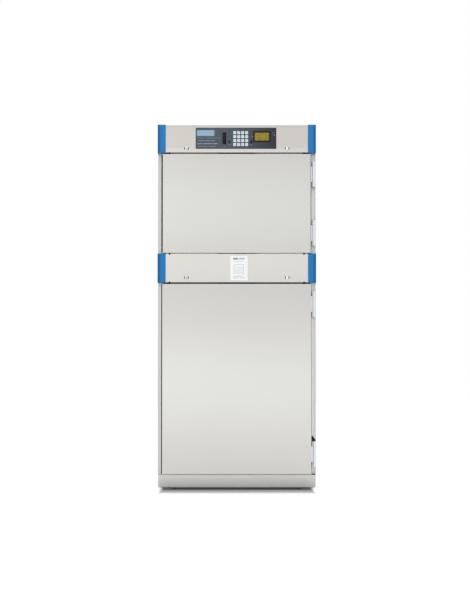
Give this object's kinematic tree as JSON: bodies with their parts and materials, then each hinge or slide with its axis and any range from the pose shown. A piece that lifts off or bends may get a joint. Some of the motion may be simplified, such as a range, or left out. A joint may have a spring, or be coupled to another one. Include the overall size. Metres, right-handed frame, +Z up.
{
  "type": "blanket warming cabinet",
  "caption": "Tall free-standing steel warming cabinet with two hinged doors, heated chambers with wire shelves, a keypad control panel and blue corner bumpers.",
  "frame": {"origin": "on the floor under the middle of the cabinet", "axes": "+X to the right of someone facing the doors, +Y to the back, +Z up; the doors face -Y"},
  "size_m": [0.762, 0.673, 1.753],
  "materials": {
    "steel": "satin",
    "base_steel": "satin",
    "back_steel": "satin",
    "liner_steel": "satin",
    "wire_chrome": "polished",
    "insulation": "matte",
    "blue_plastic": "satin",
    "black_rubber": "matte",
    "gasket_rubber": "matte",
    "pull_plastic": "matte",
    "black_plastic": "satin",
    "hinge_chrome": "satin",
    "fastener_chrome": "polished",
    "panel_gloss": "gloss",
    "display": "gloss",
    "board": "satin",
    "white_plate": "satin",
    "key_plastic": "satin",
    "button_plastic": "gloss",
    "motor_paint": "satin",
    "heater_steel": "satin",
    "wheel_aluminium": "satin",
    "foot_steel": "satin"
  },
  "bodies": {
    "cabinet": {"outer_shell": "steel", "face_frame": "steel", "header_fascia": "steel", "middle_fascia": "steel", "base_plinth": "base_steel", "back_panel": "back_steel", "upper_liner": "liner_steel", "lower_liner": "liner_steel", "shelf_rails": "liner_steel", "air_ducts": "liner_steel", "wire_shelves": "wire_chrome", "insulation": "insulation", "corner_bumpers": "blue_plastic", "rubber_buffers": "black_rubber", "frame_hinge_leaves": "hinge_chrome", "hinge_pins": "hinge_chrome", "door_catches": "black_plastic", "control_panel": "panel_gloss", "display_bezel": "black_plastic", "display_windows": "display", "control_board": "board", "info_plate": "white_plate", "blower_motors": "motor_paint", "heating_elements": "heater_steel", "power_inlet": "black_plastic", "levelling_feet": "foot_steel"},
    "upper_door": {"upper_door_skin": "steel", "upper_door_pull": "pull_plastic", "upper_door_inner_panel": "liner_steel", "upper_door_gasket": "gasket_rubber", "upper_door_hinge_leaves": "hinge_chrome"},
    "lower_door": {"lower_door_skin": "steel", "lower_door_pull": "pull_plastic", "lower_door_inner_panel": "liner_steel", "lower_door_gasket": "gasket_rubber", "lower_door_hinge_leaves": "hinge_chrome"},
    "upper_blower": {"upper_blower_wheel": "wheel_aluminium"},
    "lower_blower": {"lower_blower_wheel": "wheel_aluminium"},
    "header_fastener_left_turn": {"header_fastener_left": "fastener_chrome"},
    "header_fastener_right_turn": {"header_fastener_right": "fastener_chrome"},
    "middle_fastener_left_turn": {"middle_fastener_left": "fastener_chrome"},
    "middle_fastener_right_turn": {"middle_fastener_right": "fastener_chrome"},
    "key_01_cap": {"key_01": "key_plastic"},
    "key_02_cap": {"key_02": "key_plastic"},
    "key_03_cap": {"key_03": "key_plastic"},
    "key_04_cap": {"key_04": "key_plastic"},
    "key_05_cap": {"key_05": "key_plastic"},
    "key_06_cap": {"key_06": "key_plastic"},
    "key_07_cap": {"key_07": "key_plastic"},
    "key_08_cap": {"key_08": "key_plastic"},
    "key_09_cap": {"key_09": "key_plastic"},
    "key_10_cap": {"key_10": "key_plastic"},
    "key_11_cap": {"key_11": "key_plastic"},
    "key_12_cap": {"key_12": "key_plastic"},
    "key_13_cap": {"key_13": "key_plastic"},
    "key_14_cap": {"key_14": "key_plastic"},
    "key_15_cap": {"key_15": "key_plastic"},
    "key_16_cap": {"key_16": "key_plastic"},
    "left_round_button_cap": {"left_round_button": "button_plastic"},
    "right_round_button_cap": {"right_round_button": "button_plastic"}
  },
  "joints": [
    {"name": "upper_door_hinge", "type": "hinge", "parent": "cabinet", "child": "upper_door", "pos_m": [0.3725, -0.319, 1.3735], "axis": [0, 0, 1], "range_deg": [0, 170]},
    {"name": "upper_blower_spin", "type": "hinge", "parent": "cabinet", "child": "upper_blower", "pos_m": [0, 0.222, 1.3735], "axis": [0, 1, 0], "continuous": true},
    {"name": "lower_door_hinge", "type": "hinge", "parent": "cabinet", "child": "lower_door", "pos_m": [0.3725, -0.319, 0.53], "axis": [0, 0, 1], "range_deg": [0, 170]},
    {"name": "lower_blower_spin", "type": "hinge", "parent": "cabinet", "child": "lower_blower", "pos_m": [0, 0.222, 0.53], "axis": [0, 1, 0], "continuous": true},
    {"name": "header_fastener_left_quarter_turn", "type": "hinge", "parent": "cabinet", "child": "header_fastener_left_turn", "pos_m": [-0.242, -0.3335, 1.6385], "axis": [0, 1, 0], "range_deg": [0, 90]},
    {"name": "header_fastener_right_quarter_turn", "type": "hinge", "parent": "cabinet", "child": "header_fastener_right_turn", "pos_m": [0.242, -0.3335, 1.6385], "axis": [0, 1, 0], "range_deg": [0, 90]},
    {"name": "middle_fastener_left_quarter_turn", "type": "hinge", "parent": "cabinet", "child": "middle_fastener_left_turn", "pos_m": [-0.242, -0.3335, 1.0173], "axis": [0, 1, 0], "range_deg": [0, 90]},
    {"name": "middle_fastener_right_quarter_turn", "type": "hinge", "parent": "cabinet", "child": "middle_fastener_right_turn", "pos_m": [0.242, -0.3335, 1.0173], "axis": [0, 1, 0], "range_deg": [0, 90]},
    {"name": "key_01_press", "type": "slide", "parent": "cabinet", "child": "key_01_cap", "axis": [0, 1, 0], "range_m": [0, 0.0012], "stiffness_N_per_m": 400},
    {"name": "key_02_press", "type": "slide", "parent": "cabinet", "child": "key_02_cap", "axis": [0, 1, 0], "range_m": [0, 0.0012], "stiffness_N_per_m": 400},
    {"name": "key_03_press", "type": "slide", "parent": "cabinet", "child": "key_03_cap", "axis": [0, 1, 0], "range_m": [0, 0.0012], "stiffness_N_per_m": 400},
    {"name": "key_04_press", "type": "slide", "parent": "cabinet", "child": "key_04_cap", "axis": [0, 1, 0], "range_m": [0, 0.0012], "stiffness_N_per_m": 400},
    {"name": "key_05_press", "type": "slide", "parent": "cabinet", "child": "key_05_cap", "axis": [0, 1, 0], "range_m": [0, 0.0012], "stiffness_N_per_m": 400},
    {"name": "key_06_press", "type": "slide", "parent": "cabinet", "child": "key_06_cap", "axis": [0, 1, 0], "range_m": [0, 0.0012], "stiffness_N_per_m": 400},
    {"name": "key_07_press", "type": "slide", "parent": "cabinet", "child": "key_07_cap", "axis": [0, 1, 0], "range_m": [0, 0.0012], "stiffness_N_per_m": 400},
    {"name": "key_08_press", "type": "slide", "parent": "cabinet", "child": "key_08_cap", "axis": [0, 1, 0], "range_m": [0, 0.0012], "stiffness_N_per_m": 400},
    {"name": "key_09_press", "type": "slide", "parent": "cabinet", "child": "key_09_cap", "axis": [0, 1, 0], "range_m": [0, 0.0012], "stiffness_N_per_m": 400},
    {"name": "key_10_press", "type": "slide", "parent": "cabinet", "child": "key_10_cap", "axis": [0, 1, 0], "range_m": [0, 0.0012], "stiffness_N_per_m": 400},
    {"name": "key_11_press", "type": "slide", "parent": "cabinet", "child": "key_11_cap", "axis": [0, 1, 0], "range_m": [0, 0.0012], "stiffness_N_per_m": 400},
    {"name": "key_12_press", "type": "slide", "parent": "cabinet", "child": "key_12_cap", "axis": [0, 1, 0], "range_m": [0, 0.0012], "stiffness_N_per_m": 400},
    {"name": "key_13_press", "type": "slide", "parent": "cabinet", "child": "key_13_cap", "axis": [0, 1, 0], "range_m": [0, 0.0012], "stiffness_N_per_m": 400},
    {"name": "key_14_press", "type": "slide", "parent": "cabinet", "child": "key_14_cap", "axis": [0, 1, 0], "range_m": [0, 0.0012], "stiffness_N_per_m": 400},
    {"name": "key_15_press", "type": "slide", "parent": "cabinet", "child": "key_15_cap", "axis": [0, 1, 0], "range_m": [0, 0.0012], "stiffness_N_per_m": 400},
    {"name": "key_16_press", "type": "slide", "parent": "cabinet", "child": "key_16_cap", "axis": [0, 1, 0], "range_m": [0, 0.0012], "stiffness_N_per_m": 400},
    {"name": "left_round_button_press", "type": "slide", "parent": "cabinet", "child": "left_round_button_cap", "axis": [0, 1, 0], "range_m": [0, 0.0012], "stiffness_N_per_m": 400},
    {"name": "right_round_button_press", "type": "slide", "parent": "cabinet", "child": "right_round_button_cap", "axis": [0, 1, 0], "range_m": [0, 0.0012], "stiffness_N_per_m": 400}
  ]
}
